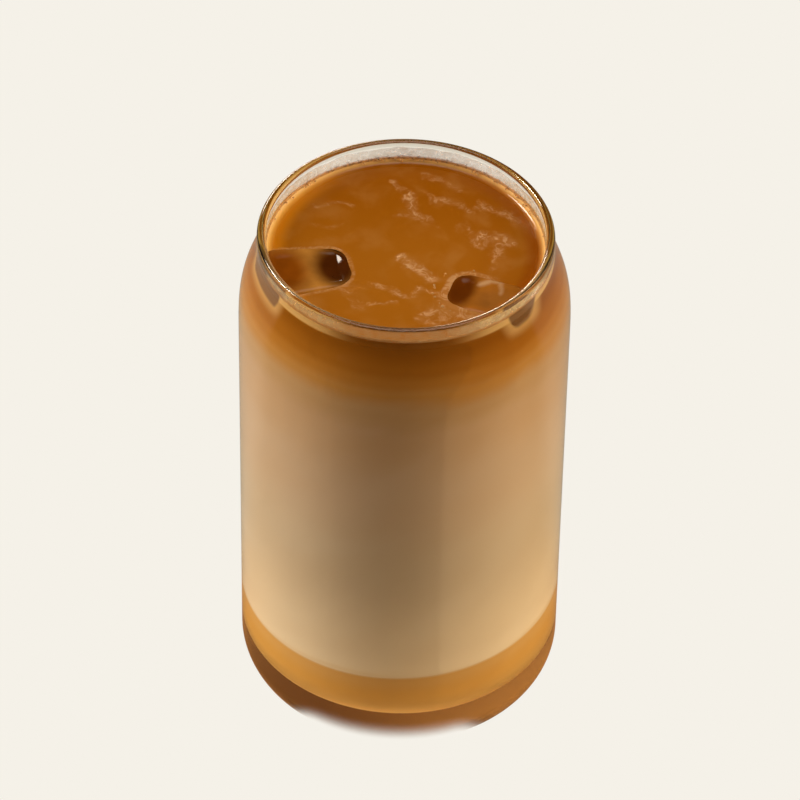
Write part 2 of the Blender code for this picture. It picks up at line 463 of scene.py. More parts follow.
def melted_cube(name, cube, shrink=0.0):
    """A tapered cube with melted corners and edges, smaller all round by shrink, at the origin."""
    long, wide, tall = (side - shrink for side in cube["half_size"])
    bpy.ops.object.select_all(action="DESELECT")
    bpy.ops.mesh.primitive_cube_add(size=2)
    made = bpy.context.object
    made.name = name
    for corner in made.data.vertices:
        x, y, z = corner.co
        girth = 1 - MELTED_FOOT * (1 - z) / 2
        corner.co = (x * long * girth, y * wide * girth * (1 - cube["taper"] * x), z * tall)
    spots = made.data.vertices

    def upright(edge):
        return abs(spots[edge.vertices[0]].co.z - spots[edge.vertices[1]].co.z) > tall

    open_with(made, upright)
    bpy.ops.mesh.bevel(offset=cube["corner"] - shrink, segments=MELTED_STEPS, profile=0.5)
    bpy.ops.object.mode_set(mode="OBJECT")
    flat = [face for face in made.data.polygons if abs(face.normal.z) > 0.9]
    rims = {key for face in flat for key in face.edge_keys}
    open_with(made, lambda edge: edge.key in rims)
    bpy.ops.mesh.bevel(offset=cube["edge"] - shrink, segments=MELTED_STEPS, profile=0.5)
    bpy.ops.mesh.select_all(action="SELECT")
    bpy.ops.mesh.remove_doubles(threshold=WELD)
    bpy.ops.mesh.normals_make_consistent(inside=False)
    bpy.ops.object.mode_set(mode="OBJECT")
    return made


def put_in_place(made, cube):
    """Turns a cube and moves it to its place in the drink, and applies both."""
    made.rotation_euler = [math.radians(a) for a in cube["turn"]]
    made.location = cube["centre"]
    bpy.ops.object.transform_apply(location=True, rotation=True)


def apply(made, kind, **settings):
    """Adds a modifier with its settings and applies it at once."""
    bpy.ops.object.select_all(action="DESELECT")
    made.select_set(True)
    bpy.context.view_layer.objects.active = made
    modifier = made.modifiers.new("shape", kind)
    for key, value in settings.items():
        setattr(modifier, key, value)
    bpy.ops.object.modifier_apply(modifier="shape")


def cut(target, other, operation):
    """Applies a Boolean on target, deletes the other piece and shades the new edges sharp."""
    apply(target, "BOOLEAN", operation=operation, solver="EXACT", object=other)
    bpy.data.objects.remove(other)
    bpy.ops.object.shade_smooth_by_angle(angle=CUT_EDGE)


def wall_section(bottom, top, count, limit=1.0, into_wall=REACH):
    """The side of what fills the glass between two heights, just into the wall or up to a limit."""
    heights = steps_between(bottom, top, count)
    return [(min(limit, inner_radius(z) + into_wall), z) for z in heights]


def ice_room(limit, into_wall, melted):
    """The room in the glass that a cube may fill, its upper edge melted back from the wall."""
    side = []
    for r, z in wall_section(SHOULDER_START, LIP_Z, ROOM_STEPS, limit, into_wall):
        share = (z - WALL_EDGE_BOTTOM) / (WALL_EDGE_TOP - WALL_EDGE_BOTTOM)
        side.append((r - melted * min(1.0, max(0.0, share)) ** 2, z))
    return turned("ice_room", [(0.0, side[0][1]), *side, (0.0, LIP_Z)], ROOM_SIDES)


def melt_space(cube):
    """The space that a cube takes in the drink, a little smaller than the cube itself."""
    made = melted_cube("melt_space", cube, shrink=CUBE_OVERLAP)
    put_in_place(made, cube)
    melted = WALL_EDGE_MELTED + CUBE_OVERLAP
    cut(made, ice_room(cube["reach"] - CUBE_OVERLAP, 2 * REACH, melted), "INTERSECT")
    return made


def dent_top(made, cube):
    """Sinks the hollows into the cube's top and melts shallow lumps all over it."""
    long, wide, tall = cube["half_size"]
    for spot in made.data.vertices:
        x, y, z = spot.co
        share = min(1.0, max(0.0, (z / tall - DENT_START) / DENT_RUN))
        share *= min(1.0, max(0.0, min(long - abs(x), wide - abs(y)) / HOLLOW_EDGE))
        sink = 0.0
        for along, across, half_long, half_wide, depth, _ in cube["hollows"]:
            far = ((x - along) / half_long) ** 2 + ((y - across) / half_wide) ** 2
            sink += depth * math.exp(-HOLLOW_FALL * far)
        lump = noise.noise(spot.co / LUMP_SIZE + Vector(cube["centre"]) * LUMP_SHIFT) + 1
        spot.co -= spot.normal * LUMP_DEPTH * lump * 0.5
        spot.co.z -= sink * share


def new_group(name, takes, gives):
    """An empty node group: its inputs with their defaults, and its outputs, all values."""
    made = bpy.data.node_groups.new(name, "ShaderNodeTree")
    for label, default in takes.items():
        kind = "NodeSocketVector" if isinstance(default, tuple) else "NodeSocketFloat"
        made.interface.new_socket(label, in_out="INPUT", socket_type=kind).default_value = default
    for label in gives:
        made.interface.new_socket(label, in_out="OUTPUT", socket_type="NodeSocketFloat")
    return made, made.nodes.new("NodeGroupInput").outputs, made.nodes.new("NodeGroupOutput").inputs


def cube_place_group():
    """Gives the place along and across a cube, and how far outside its rounded outline that is."""
    takes = {"Centre": (0.0, 0.0, 0.0), "Turn": 0.0, "Half Long": 0.01, "Half Wide": 0.01}
    takes |= {"Taper": 0.0, "Corner": 0.004}
    group, given, wanted = new_group("cube_place", takes, ("Along", "Across", "Outside"))
    place = add(group, "ShaderNodeTexCoord").outputs["Object"]
    ends = {0: place, 1: given["Centre"]}
    shifted = add(group, "ShaderNodeVectorMath", ends, operation="SUBTRACT")
    back = calc(group, "MULTIPLY", given["Turn"], -1.0)
    turning = {"Vector": shifted.outputs[0], "Angle": back}
    straight = add(group, "ShaderNodeVectorRotate", turning, rotation_type="Z_AXIS")
    split = add(group, "ShaderNodeSeparateXYZ", {0: straight.outputs[0]}).outputs
    share = calc(group, "DIVIDE", split[0], given["Half Long"])
    narrow = calc(group, "SUBTRACT", 1.0, calc(group, "MULTIPLY", share, given["Taper"]))
    wide = calc(group, "MULTIPLY", given["Half Wide"], narrow)
    beyond = []
    for way, half in ((split[0], given["Half Long"]), (split[1], wide)):
        inner = calc(group, "SUBTRACT", half, given["Corner"])
        beyond.append(calc(group, "SUBTRACT", calc(group, "ABSOLUTE", way), inner))
    over = [calc(group, "MAXIMUM", way, 0.0) for way in beyond]
    squares = [calc(group, "MULTIPLY", way, way) for way in over]
    rounded = calc(group, "SQRT", calc(group, "ADD", *squares))
    within = calc(group, "MINIMUM", calc(group, "MAXIMUM", *beyond), 0.0)
    outside = calc(group, "SUBTRACT", calc(group, "ADD", rounded, within), given["Corner"])
    for label, value in (("Along", split[0]), ("Across", split[1]), ("Outside", outside)):
        group.links.new(value, wanted[label])
    return group


cube_place = cube_place_group()


def place_on_cube(tree, cube):
    """The cube_place group with one cube's numbers, its outline taken at the drink's surface."""
    long, wide, _ = cube["half_size"]
    values = {"Centre": cube["centre"], "Turn": math.radians(cube["turn"][2])}
    values |= {"Half Long": long - SURFACE_INSET, "Half Wide": wide - SURFACE_INSET}
    values |= {"Taper": cube["taper"], "Corner": cube["corner"]}
    made = tree.nodes.new("ShaderNodeGroup")
    made.node_tree = cube_place
    for key, value in values.items():
        made.inputs[key].default_value = value
    return made.outputs


def foam_stroke_group():
    """Gives how much foam lies round a straight stroke, on a place that is already stirred."""
    takes = {"Place": (0.0, 0.0, 0.0), "Start": (0.0, 0.0, 0.0), "End": (0.0, 0.0, 0.0)}
    takes |= {"Width": 0.001, "Weight": 1.0}
    group, given, wanted = new_group("foam_stroke", takes, ("Foam",))

    def vector(operation, *values):
        return add(group, "ShaderNodeVectorMath", dict(enumerate(values)), operation=operation)

    from_start = vector("SUBTRACT", given["Place"], given["Start"]).outputs[0]
    whole = vector("SUBTRACT", given["End"], given["Start"]).outputs[0]
    reached = vector("DOT_PRODUCT", from_start, whole).outputs["Value"]
    length = vector("DOT_PRODUCT", whole, whole).outputs["Value"]
    share = add(group, "ShaderNodeClamp", {0: calc(group, "DIVIDE", reached, length)}).outputs[0]
    nearest = vector("SCALE", whole)
    group.links.new(share, nearest.inputs["Scale"])
    away = vector("DISTANCE", from_start, nearest.outputs[0]).outputs["Value"]
    foam = ease(group, calc(group, "DIVIDE", away, given["Width"]), STROKE_EDGE, 0.0)
    group.links.new(calc(group, "MULTIPLY", foam, given["Weight"]), wanted["Foam"])
    return group


foam_stroke = foam_stroke_group()


def foam_from(tree, place, strokes):
    """The most foam that any of the strokes gives at a place."""
    most = None
    for (x0, y0), (x1, y1), width, weight in strokes:
        made = tree.nodes.new("ShaderNodeGroup")
        made.node_tree = foam_stroke
        tree.links.new(place, made.inputs["Place"])
        made.inputs["Start"].default_value = (x0 / 1000, y0 / 1000, 0.0)
        made.inputs["End"].default_value = (x1 / 1000, y1 / 1000, 0.0)
        made.inputs["Width"].default_value = width / 1000
        made.inputs["Weight"].default_value = weight
        most = made.outputs[0] if most is None else calc(tree, "MAXIMUM", most, made.outputs[0])
    return most


def stirred_place(tree, swirl, size):
    """The flat place on the surface, pushed about as if the foam had been stirred."""
    place, x, y, z, out = object_place(tree)
    flat = add(tree, "ShaderNodeCombineXYZ", {0: x, 1: y}).outputs[0]
    wave = add(tree, "ShaderNodeTexNoise", {"Vector": flat, "Scale": 1 / size, "Detail": 3.0})
    centred = {0: wave.outputs["Color"], 1: (0.5, 0.5, 0.5)}
    push = add(tree, "ShaderNodeVectorMath", centred, operation="SUBTRACT").outputs[0]
    values = {0: push, 1: (swirl, swirl, 0.0), 2: flat}
    return add(tree, "ShaderNodeVectorMath", values, operation="MULTIPLY_ADD").outputs[0]


CREAM_ON_ICE = [
    # start and end in millimetres, half width, weight
    ((16.9, -11.2), (19.4, -10.2), 0.9, 0.7),
    ((19.4, -10.2), (21.6, -10.9), 0.9, 0.6),
    ((21.6, -10.9), (21.8, -14.2), 0.7, 0.5),
]
CREAM_STIR = (0.0016, 0.004)
FOAM = (204, 162, 114)


def ice_material(name, cube):
    """Wet ice under a film of coffee: its hollows in painted shade, its ridge, the face at the
    wall.
    """
    made, tree, shader = new_material(name)
    place, x, y, z, out = object_place(tree)
    on_cube = place_on_cube(tree, cube)
    colour = tone(*cube["top_tone"])
    # Each hollow darkens towards its middle: coffee pooled in it, deepened with painted shade.
    for along, across, half_long, half_wide, _, dark in cube["hollows"]:
        shares = []
        for way, middle, half in (("Along", along, half_long), ("Across", across, half_wide)):
            offset = calc(tree, "SUBTRACT", on_cube[way], middle)
            share = calc(tree, "DIVIDE", offset, half)
            shares.append(calc(tree, "MULTIPLY", share, share))
        far = calc(tree, "SQRT", calc(tree, "ADD", *shares))
        colour = blend(tree, ease(tree, far, *HOLLOW_SHADE_EDGE), colour, tone(*dark))
    cream = foam_from(tree, stirred_place(tree, *CREAM_STIR), CREAM_ON_ICE)
    colour = blend(tree, cream, colour, tone(*FOAM))
    cloud = add(tree, "ShaderNodeTexNoise", {"Vector": place, "Scale": 240.0, "Detail": 4.0})
    shade = ease(tree, cloud.outputs["Fac"], 0.3, 0.7, *ICE_SHADES)
    colour = add(tree, "ShaderNodeVectorMath", {0: colour}, operation="SCALE")
    tree.links.new(shade, colour.inputs["Scale"])
    at_wall = ease(tree, out, *WALL_FACE)
    above = ease(tree, z, *WALL_ICE_HEIGHTS)
    wall_tone = blend(tree, above, tone(*WALL_COFFEE), tone(*cube["wall_tone"]))
    colour = blend(tree, at_wall, colour.outputs[0], wall_tone)
    tree.links.new(colour, shader.inputs["Base Color"])
    shader.inputs["Roughness"].default_value = ICE_ROUGHNESS
    shader.inputs["IOR"].default_value = ICE_BENDS_LIGHT
    shader.inputs["Transmission Weight"].default_value = ICE_CLEARNESS
    light_passes(tree, shader, ICE_SHADOW)
    return made


for name, cube in ICE_CUBES.items():
    piece = melted_cube(f"clear_{name}", cube)
    apply(piece, "REMESH", mode="VOXEL", voxel_size=ICE_GRAIN, use_smooth_shade=True)
    dent_top(piece, cube)
    put_in_place(piece, cube)
    cut(piece, ice_room(cube["reach"], REACH, WALL_EDGE_MELTED), "INTERSECT")
    piece.data.materials.clear()
    piece.data.materials.append(ice_material(f"wet_{name}", cube))
    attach(piece, "root")
    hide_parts(name)


# The amber layer is sweet sauce and coffee that has settled in the rounded foot of the glass. It is
# heavier than the milk, so it stays below it, and their level lies a little lower on the left.
BASE_TOP = 0.0273
BASE_TONES = (
    # height in millimetres and colour
    (10.0, (206, 158, 86)),
    (16.0, (216, 166, 86)),
    (21.0, (226, 170, 82)),
    (26.6, (228, 176, 98)),
    (27.2, (236, 200, 144)),
)
BASE_RAMP = (10.0, 27.5)
AMBER_WARM = (1.0, 0.98, 0.94)
AMBER_STREAKS = (0.94, 0.91, 0.86)
UNDERSIDE_SHADE_TONES = ((122, 78, 38), (204, 148, 80))
UNDERSIDE_SHADE_TURN = (-0.012, 0.022)
UNDERSIDE_HEIGHTS = (0.0135, 0.0120)
LAYER_SLOPE = 0.029
LAYER_DROP = -0.0006
TILT_GONE = 0.045
DRINK_ROUGHNESS = 0.5
DRINK_GLOSS = 0.15
STREAK_STRETCH = (0.35, 0.35, 1.0)
STREAK_EDGES = (0.35, 0.65)
WARM_SIDE_BEND = 0.016
WARM_SIDE_PLACE = (-0.004, 0.030)


def height_tones(tree, stops, low, high, shift=None):
    """A colour that follows the height on the piece, through stops given in millimetres."""
    place, x, y, height, out = object_place(tree)
    if shift is not None:
        height = calc(tree, "ADD", height, shift)
    share = {"Value": height, "From Min": low / 1000, "From Max": high / 1000}
    level = add(tree, "ShaderNodeMapRange", share)
    ramp = add(tree, "ShaderNodeValToRGB", {0: level.outputs[0]})
    points = ramp.color_ramp.elements
    points.remove(points[1])
    for i, (millimetres, colour) in enumerate(stops):
        at = (millimetres - low) / (high - low)
        point = points[0] if i == 0 else points.new(at)
        point.position = at
        point.color = tone(*colour)
    ramp.color_ramp.interpolation = "EASE"
    return ramp.outputs["Color"]


def drink_swirls_group():
    """Slow swirls in the drink: leaning streaks, the warmer side, and how far the layers tilt."""
    takes = {"Streak Size": 0.024, "Lean": 0.6}
    group, given, wanted = new_group("drink_swirls", takes, ("Streaks", "Warm Side", "Tilt"))
    place = add(group, "ShaderNodeTexCoord").outputs["Object"]
    turning = {"Vector": place, "Angle": given["Lean"], "Axis": (0.0, 1.0, 0.0)}
    leaned = add(group, "ShaderNodeVectorRotate", turning)
    stretched = {0: leaned.outputs[0], 1: STREAK_STRETCH}
    bands = add(group, "ShaderNodeVectorMath", stretched, operation="MULTIPLY").outputs[0]
    scale = calc(group, "DIVIDE", 1.0, given["Streak Size"])
    values = {"Vector": bands, "Scale": scale, "Detail": 3.0, "Distortion": 0.6}
    streaks = add(group, "ShaderNodeTexNoise", values).outputs["Fac"]
    group.links.new(ease(group, streaks, *STREAK_EDGES), wanted["Streaks"])
    split = add(group, "ShaderNodeSeparateXYZ", {0: place}).outputs
    side = split["X"]
    bent = calc(group, "MULTIPLY_ADD", streaks, WARM_SIDE_BEND, side)
    group.links.new(ease(group, bent, *WARM_SIDE_PLACE), wanted["Warm Side"])
    tilt = calc(group, "MULTIPLY_ADD", side, LAYER_SLOPE, LAYER_DROP)
    low = ease(group, split["Z"], TILT_GONE, BASE_TOP)
    group.links.new(calc(group, "MULTIPLY", tilt, low), wanted["Tilt"])
    return group


drink_swirls = drink_swirls_group()


def tilt_layers(made):
    """Tilts the level where the amber meets the milk, which lies a little lower on the left."""
    for spot in made.data.vertices:
        tilt = spot.co.x * LAYER_SLOPE + LAYER_DROP
        up = (spot.co.z - (FLOOR_Z + CORNER_HEIGHT)) / (BASE_TOP - FLOOR_Z - CORNER_HEIGHT)
        down = (TILT_GONE - spot.co.z) / (TILT_GONE - BASE_TOP)
        spot.co.z += tilt * max(0.0, min(1.0, up, down))


def drink_material(name, stops, low, high, warm_tint, streak_tint, wave=0.002):
    """A cloudy drink whose colour follows its height, with soft streaks and a warmer right side."""
    made, tree, shader = new_material(name)
    swirls = tree.nodes.new("ShaderNodeGroup")
    swirls.node_tree = drink_swirls
    lift = calc(tree, "MULTIPLY_ADD", swirls.outputs["Streaks"], wave, -wave / 2)
    lift = calc(tree, "SUBTRACT", lift, swirls.outputs["Tilt"])
    colour = height_tones(tree, stops, low, high, lift)
    for share, tint in (("Warm Side", warm_tint), ("Streaks", streak_tint)):
        values = {0: swirls.outputs[share], 6: colour, 7: (*tint, 1.0)}
        made_tint = add(tree, "ShaderNodeMix", values, data_type="RGBA", blend_type="MULTIPLY")
        colour = made_tint.outputs[2]
    return made, tree, shader, colour


side = (inner_radius(BASE_TOP) + REACH, BASE_TOP)
section = [(0.0, FLOOR_Z - REACH), *floor_corner(REACH), side, (0.0, BASE_TOP)]
base_layer = turned("amber_layer", section)
tilt_layers(base_layer)
amber, tree, shader, colour = drink_material(
    "amber_sauce", BASE_TONES, *BASE_RAMP, AMBER_WARM, AMBER_STREAKS, wave=0.0
)
place, x, y, z, out = object_place(tree)
# Painted shade on the underside, under the thick base: dark brown on the left, lighter on the
# right.
underside_shade = blend(tree, ease(tree, x, *UNDERSIDE_SHADE_TURN), *[tone(*t) for t in UNDERSIDE_SHADE_TONES])
colour = blend(tree, ease(tree, z, *UNDERSIDE_HEIGHTS), colour, underside_shade)
tree.links.new(colour, shader.inputs["Base Color"])
shader.inputs["Roughness"].default_value = DRINK_ROUGHNESS
shader.inputs["Specular IOR Level"].default_value = DRINK_GLOSS
base_layer.data.materials.append(amber)
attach(base_layer, "root")
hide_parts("base_layer")


# The milk fills the body of the glass: palest just above the amber layer, and tanned further up
# where the coffee has begun to sink into it.
MILK_TOP = 0.1160
MILK_STEPS = 60
MILK_TONES = (
    # height in millimetres and colour
    (27.3, (244, 220, 176)),
    (28.2, (250, 230, 192)),
    (36.0, (244, 222, 184)),
    (60.0, (229, 205, 168)),
    (85.0, (228, 198, 160)),
    (104.0, (222, 184, 138)),
    (110.5, (214, 172, 118)),
    (115.5, (209, 150, 74)),
    (118.5, (196, 130, 48)),
    (121.0, (178, 110, 27)),
    (125.5, (158, 92, 14)),
)
MILK_RAMP = (25.0, 130.0)
MILK_WARM = (1.0, 0.97, 0.90)
MILK_STREAKS = (0.97, 0.95, 0.92)

section = [(0.0, BASE_TOP), *wall_section(BASE_TOP, MILK_TOP, MILK_STEPS), (0.0, MILK_TOP)]
milk_layer = turned("tan_milk", section)
tilt_layers(milk_layer)
for cube in ICE_CUBES.values():
    cut(milk_layer, melt_space(cube), "DIFFERENCE")
milk, tree, shader, colour = drink_material(
    "coffee_milk", MILK_TONES, *MILK_RAMP, MILK_WARM, MILK_STREAKS
)
tree.links.new(colour, shader.inputs["Base Color"])
shader.inputs["Roughness"].default_value = DRINK_ROUGHNESS
shader.inputs["Specular IOR Level"].default_value = DRINK_GLOSS
milk_layer.data.materials.clear()
milk_layer.data.materials.append(milk)
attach(milk_layer, "root")
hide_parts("milk_layer")


# The coffee floats on the milk. Its surface climbs the wall in a thin creamy edge, with painted
# light on it at the sides, and pale foam lies on it in torn streaks and in a line round each cube.
MENISCUS_HEIGHT = 0.0012
MENISCUS_WIDTH = 0.0018
EDGE_STEPS = 24
CLIMB_STEPS = 10
SURFACE_RINGS = (0.027, 0.021, 0.014, 0.007)
SURFACE_START = 0.1264
SURFACE_FULL = DRINK_TOP - 0.0002
COFFEE_STREAKS = (0.93, 0.90, 0.85)
FAR_SHADE_PLACE = (-0.004, 0.026)
LEFT_SIDE = (-0.35, -0.95)
RIGHT_SIDE = (0.30, 0.95)
GLOW_LEFT_OUT = (0.0262, 0.0300)
EDGE_LIGHT_LEFT_OUT = (0.0296, 0.0316)
SHADE_RIGHT_OUT = (0.0262, 0.0290)
GLOW_RIGHT_OUT = (0.0298, 0.0312)
RIM_CREAM_AND_LIGHT_OUT = (0.0308, 0.0317)
WET_OUT = (0.0298, 0.0304)
FRONT_GAP = (-0.97, -0.80)
EDGE_CREAM_AND_LIGHT = (240, 190, 112)
GLOW_LEFT = (200, 120, 12)
EDGE_LIGHT_LEFT = (230, 168, 76)
GLOW_RIGHT = (200, 134, 62)
SHADE_RIGHT = (142, 72, 4)
FAR_SHADE = (142, 75, 0)
FAR_SHADE_SHARE = 0.8
RIM_LIGHT_BEHIND = 0.75
HAZE = (176, 122, 62)
CLOUD_STIR = (0.0060, 0.010)
CLOUD_EDGES = (0.46, 0.72)
CLOUDINESS = 0.26
VEIN_STIR = (0.0030, 0.006)
VEIN_WIDTH = 0.09
VEIN_FOAM = 0.90
THIN_FOAM = 0.27
GAP_EDGES = (0.38, 0.60)
GAP_FOAM = 0.30
LEFT_RING_WIDTHS = (0.0008, 0.00024)
LEFT_RING_FOAM = 0.42
RIGHT_RING_WIDTHS = (0.0009, 0.00018)
RIGHT_RING_FOAM = 0.65
RIGHT_RING_END = (0.0030, -0.0045)
FOAM_STIR = (0.0066, 0.005)
FOAM_COVER = 0.62
RIPPLE = 0.3
BUMP_STRENGTH = 0.17
BUMP_HEIGHT = 0.0003
DULLNESS = (0.28, 0.6)
WET_SHINE = 0.65
COFFEE_GLOSS = 0.3
AT_WALL_OUT = (0.0312, 0.0318)
WALL_LINE = (0.0028, 0.0003)
WALL_LINE_HEIGHTS = (0.1218, 0.1246)
WALL_LINE_SHARE = 0.6
WALL_WINDOW = (0.0005, -0.0001)
WALL_WINDOW_HEIGHTS = (0.1240, 0.1250)
ICE_AT_WALL = (146, 104, 62)
FOAM_STROKES = [
    # start and end in millimetres, half width, weight
    ((-3.0, 23.4), (0.3, 19.2), 1.0, 0.80),
    ((0.3, 19.2), (2.0, 12.6), 1.2, 0.95),
    ((2.0, 12.6), (6.0, 11.6), 1.0, 0.75),
    ((-2.5, 11.5), (2.0, 12.4), 0.8, 0.45),
    ((3.6, 10.2), (7.0, 8.8), 0.8, 0.40),
    ((4.4, 25.9), (9.0, 24.9), 0.9, 0.45),
    ((9.0, 24.9), (12.2, 22.5), 0.9, 0.40),
    ((4.2, 21.5), (5.8, 17.6), 0.9, 0.50),
    ((5.8, 19.5), (12.0, 16.2), 1.3, 0.55),
    ((12.0, 16.2), (14.7, 14.1), 1.3, 0.50),
    ((16.4, 16.3), (22.5, 14.0), 1.2, 0.62),
    ((22.5, 14.0), (26.0, 10.6), 1.2, 0.62),
    ((17.2, 4.1), (20.9, 4.8), 2.4, 0.95),
    ((20.9, 4.8), (24.0, 3.2), 1.9, 0.85),
    ((21.3, 2.0), (20.6, -1.6), 1.4, 0.60),
    ((20.6, -1.6), (19.7, -4.8), 1.1, 0.45),
    ((12.9, 8.6), (14.4, 6.4), 1.2, 0.50),
    ((-0.6, -2.2), (2.8, -6.0), 1.7, 0.95),
    ((2.8, -6.0), (5.6, -9.4), 1.9, 1.00),
    ((-1.5, -5.2), (1.5, -4.6), 0.8, 0.60),
    ((-8.4, -12.2), (-2.2, -14.0), 0.8, 0.75),
    ((-2.2, -14.0), (1.2, -15.6), 0.8, 0.75),
    ((-8.4, -17.6), (-4.8, -18.6), 0.7, 0.60),
    ((-4.8, -18.6), (-1.8, -17.6), 0.7, 0.65),
    ((-13.2, -12.6), (-12.2, -14.6), 1.8, 0.45),
    ((-11.1, -17.9), (-10.0, -19.5), 1.4, 0.35),
    ((2.2, -13.5), (7.9, -14.4), 1.2, 0.65),
    ((5.7, -20.8), (9.6, -17.4), 2.6, 0.70),
    ((3.8, -23.4), (13.0, -24.6), 2.0, 0.60),
    ((9.6, -21.0), (16.8, -22.6), 1.8, 0.75),
    ((-20.0, 15.6), (-12.9, 16.2), 0.7, 0.40),
    ((-22.0, 8.0), (-14.0, 9.0), 0.6, 0.22),
]

edge_top = DRINK_TOP + MENISCUS_HEIGHT
edge = wall_section(MILK_TOP, edge_top, EDGE_STEPS)
climb = [
    (edge[-1][0] - MENISCUS_WIDTH * share, DRINK_TOP + MENISCUS_HEIGHT * (1 - share) ** 3)
    for share in steps_between(0.0, 1.0, CLIMB_STEPS)[1:]
]
rings = [(r, DRINK_TOP) for r in SURFACE_RINGS]
section = [(0.0, MILK_TOP), *edge, *climb, *rings, (0.0, DRINK_TOP)]
coffee_layer = turned("coffee_top", section)
for cube in ICE_CUBES.values():
    cut(coffee_layer, melt_space(cube), "DIFFERENCE")

coffee, tree, shader, colour = drink_material(
    "coffee_foam", MILK_TONES, *MILK_RAMP, MILK_WARM, COFFEE_STREAKS, wave=0.001
)
place, x, y, z, out = object_place(tree)
on_top = ease(tree, z, SURFACE_START, SURFACE_FULL)
# Painted light and shade on the surface: a painted shade on the far half, a painted orange glow and
# a painted bright edge by the left wall, a painted shade and then a painted glow by the right.
far_shade = calc(tree, "MULTIPLY", ease(tree, y, *FAR_SHADE_PLACE), on_top)
far_shade = calc(tree, "MULTIPLY", far_shade, FAR_SHADE_SHARE)
colour = blend(tree, far_shade, colour, tone(*FAR_SHADE))
turn = calc(tree, "DIVIDE", x, out)
to_left = ease(tree, turn, *LEFT_SIDE)
to_right = ease(tree, turn, *RIGHT_SIDE)
sideways = calc(tree, "MAXIMUM", to_left, to_right)
glow_left = calc(tree, "MULTIPLY", ease(tree, out, *GLOW_LEFT_OUT), to_left)
colour = blend(tree, calc(tree, "MULTIPLY", glow_left, on_top), colour, tone(*GLOW_LEFT))
edge_light_left = calc(tree, "MULTIPLY", ease(tree, out, *EDGE_LIGHT_LEFT_OUT), to_left)
colour = blend(tree, calc(tree, "MULTIPLY", edge_light_left, on_top), colour, tone(*EDGE_LIGHT_LEFT))
rim_shade = calc(tree, "MULTIPLY", ease(tree, out, *SHADE_RIGHT_OUT), to_right)
colour = blend(tree, calc(tree, "MULTIPLY", rim_shade, on_top), colour, tone(*SHADE_RIGHT))
glow_right = calc(tree, "MULTIPLY", ease(tree, out, *GLOW_RIGHT_OUT), to_right)
colour = blend(tree, calc(tree, "MULTIPLY", glow_right, on_top), colour, tone(*GLOW_RIGHT))

# Cloudiness first, then the foam: a haze in which torn veins lie.
cloud_place = stirred_place(tree, *CLOUD_STIR)
clouds = add(tree, "ShaderNodeTexNoise", {"Vector": cloud_place, "Scale": 130.0, "Detail": 5.0})
cloudy = ease(tree, clouds.outputs["Fac"], *CLOUD_EDGES, 0.0, CLOUDINESS)
cloudy = calc(tree, "MULTIPLY", cloudy, on_top)
colour = blend(tree, cloudy, colour, tone(*HAZE))
vein_place = stirred_place(tree, *VEIN_STIR)
vein_values = {"Vector": vein_place, "Scale": 340.0, "Detail": 4.0, "Distortion": 1.4}
veins = add(tree, "ShaderNodeTexNoise", vein_values).outputs["Fac"]
torn = calc(tree, "ABSOLUTE", calc(tree, "SUBTRACT", veins, 0.5))
torn = ease(tree, torn, VEIN_WIDTH, 0.0)
foam = foam_from(tree, stirred_place(tree, *FOAM_STIR), FOAM_STROKES)
left_ring = place_on_cube(tree, ICE_CUBES["ice_cube_left"])["Outside"]
gaps = add(tree, "ShaderNodeTexNoise", {"Vector": vein_place, "Scale": 400.0, "Detail": 2.0})
gaps = ease(tree, gaps.outputs["Fac"], *GAP_EDGES, GAP_FOAM, 1.0)
foam = calc(tree, "MULTIPLY", foam, gaps)
line = ease(tree, left_ring, *LEFT_RING_WIDTHS, 0.0, LEFT_RING_FOAM)
foam = calc(tree, "MAXIMUM", foam, line)
right_cube = place_on_cube(tree, ICE_CUBES["ice_cube_right"])
line = ease(tree, right_cube["Outside"], *RIGHT_RING_WIDTHS, 0.0, RIGHT_RING_FOAM)
line = calc(tree, "MULTIPLY", line, ease(tree, right_cube["Along"], *RIGHT_RING_END))
foam = calc(tree, "MAXIMUM", foam, line)
torn = calc(tree, "MULTIPLY_ADD", torn, VEIN_FOAM, THIN_FOAM)
foam = calc(tree, "MULTIPLY", foam, torn)
foam = calc(tree, "MULTIPLY", foam, on_top)
colour = blend(tree, calc(tree, "MULTIPLY", foam, FOAM_COVER), colour, tone(*FOAM))
# The edge is real cream foam, painted brighter as light at the sides, fainter behind, none in
# front.
rim_cream_and_light = calc(tree, "MULTIPLY", ease(tree, out, *RIM_CREAM_AND_LIGHT_OUT), on_top)
rim_light_share = ease(tree, sideways, 0.0, 1.0, RIM_LIGHT_BEHIND, 1.0)
rim_light_share = calc(tree, "MULTIPLY", rim_light_share, ease(tree, calc(tree, "DIVIDE", y, out), *FRONT_GAP))
colour = blend(tree, calc(tree, "MULTIPLY", rim_cream_and_light, rim_light_share), colour, tone(*EDGE_CREAM_AND_LIGHT))
at_wall = ease(tree, out, *AT_WALL_OUT)
for ring in (left_ring, right_cube["Outside"]):
    near = calc(tree, "MULTIPLY", ease(tree, ring, *WALL_LINE), ease(tree, z, *WALL_LINE_HEIGHTS))
    near = calc(tree, "MULTIPLY", near, at_wall)
    near = calc(tree, "MULTIPLY", near, WALL_LINE_SHARE)
    colour = blend(tree, near, colour, tone(*EDGE_CREAM_AND_LIGHT))
    within = calc(tree, "MULTIPLY", ease(tree, ring, *WALL_WINDOW), at_wall)
    within = calc(tree, "MULTIPLY", within, ease(tree, z, *WALL_WINDOW_HEIGHTS))
    colour = blend(tree, within, colour, tone(*ICE_AT_WALL))
tree.links.new(colour, shader.inputs["Base Color"])
ripple = add(tree, "ShaderNodeTexNoise", {"Vector": place, "Scale": 900.0, "Detail": 3.0})
height = calc(tree, "ADD", foam, calc(tree, "MULTIPLY", ripple.outputs["Fac"], RIPPLE))
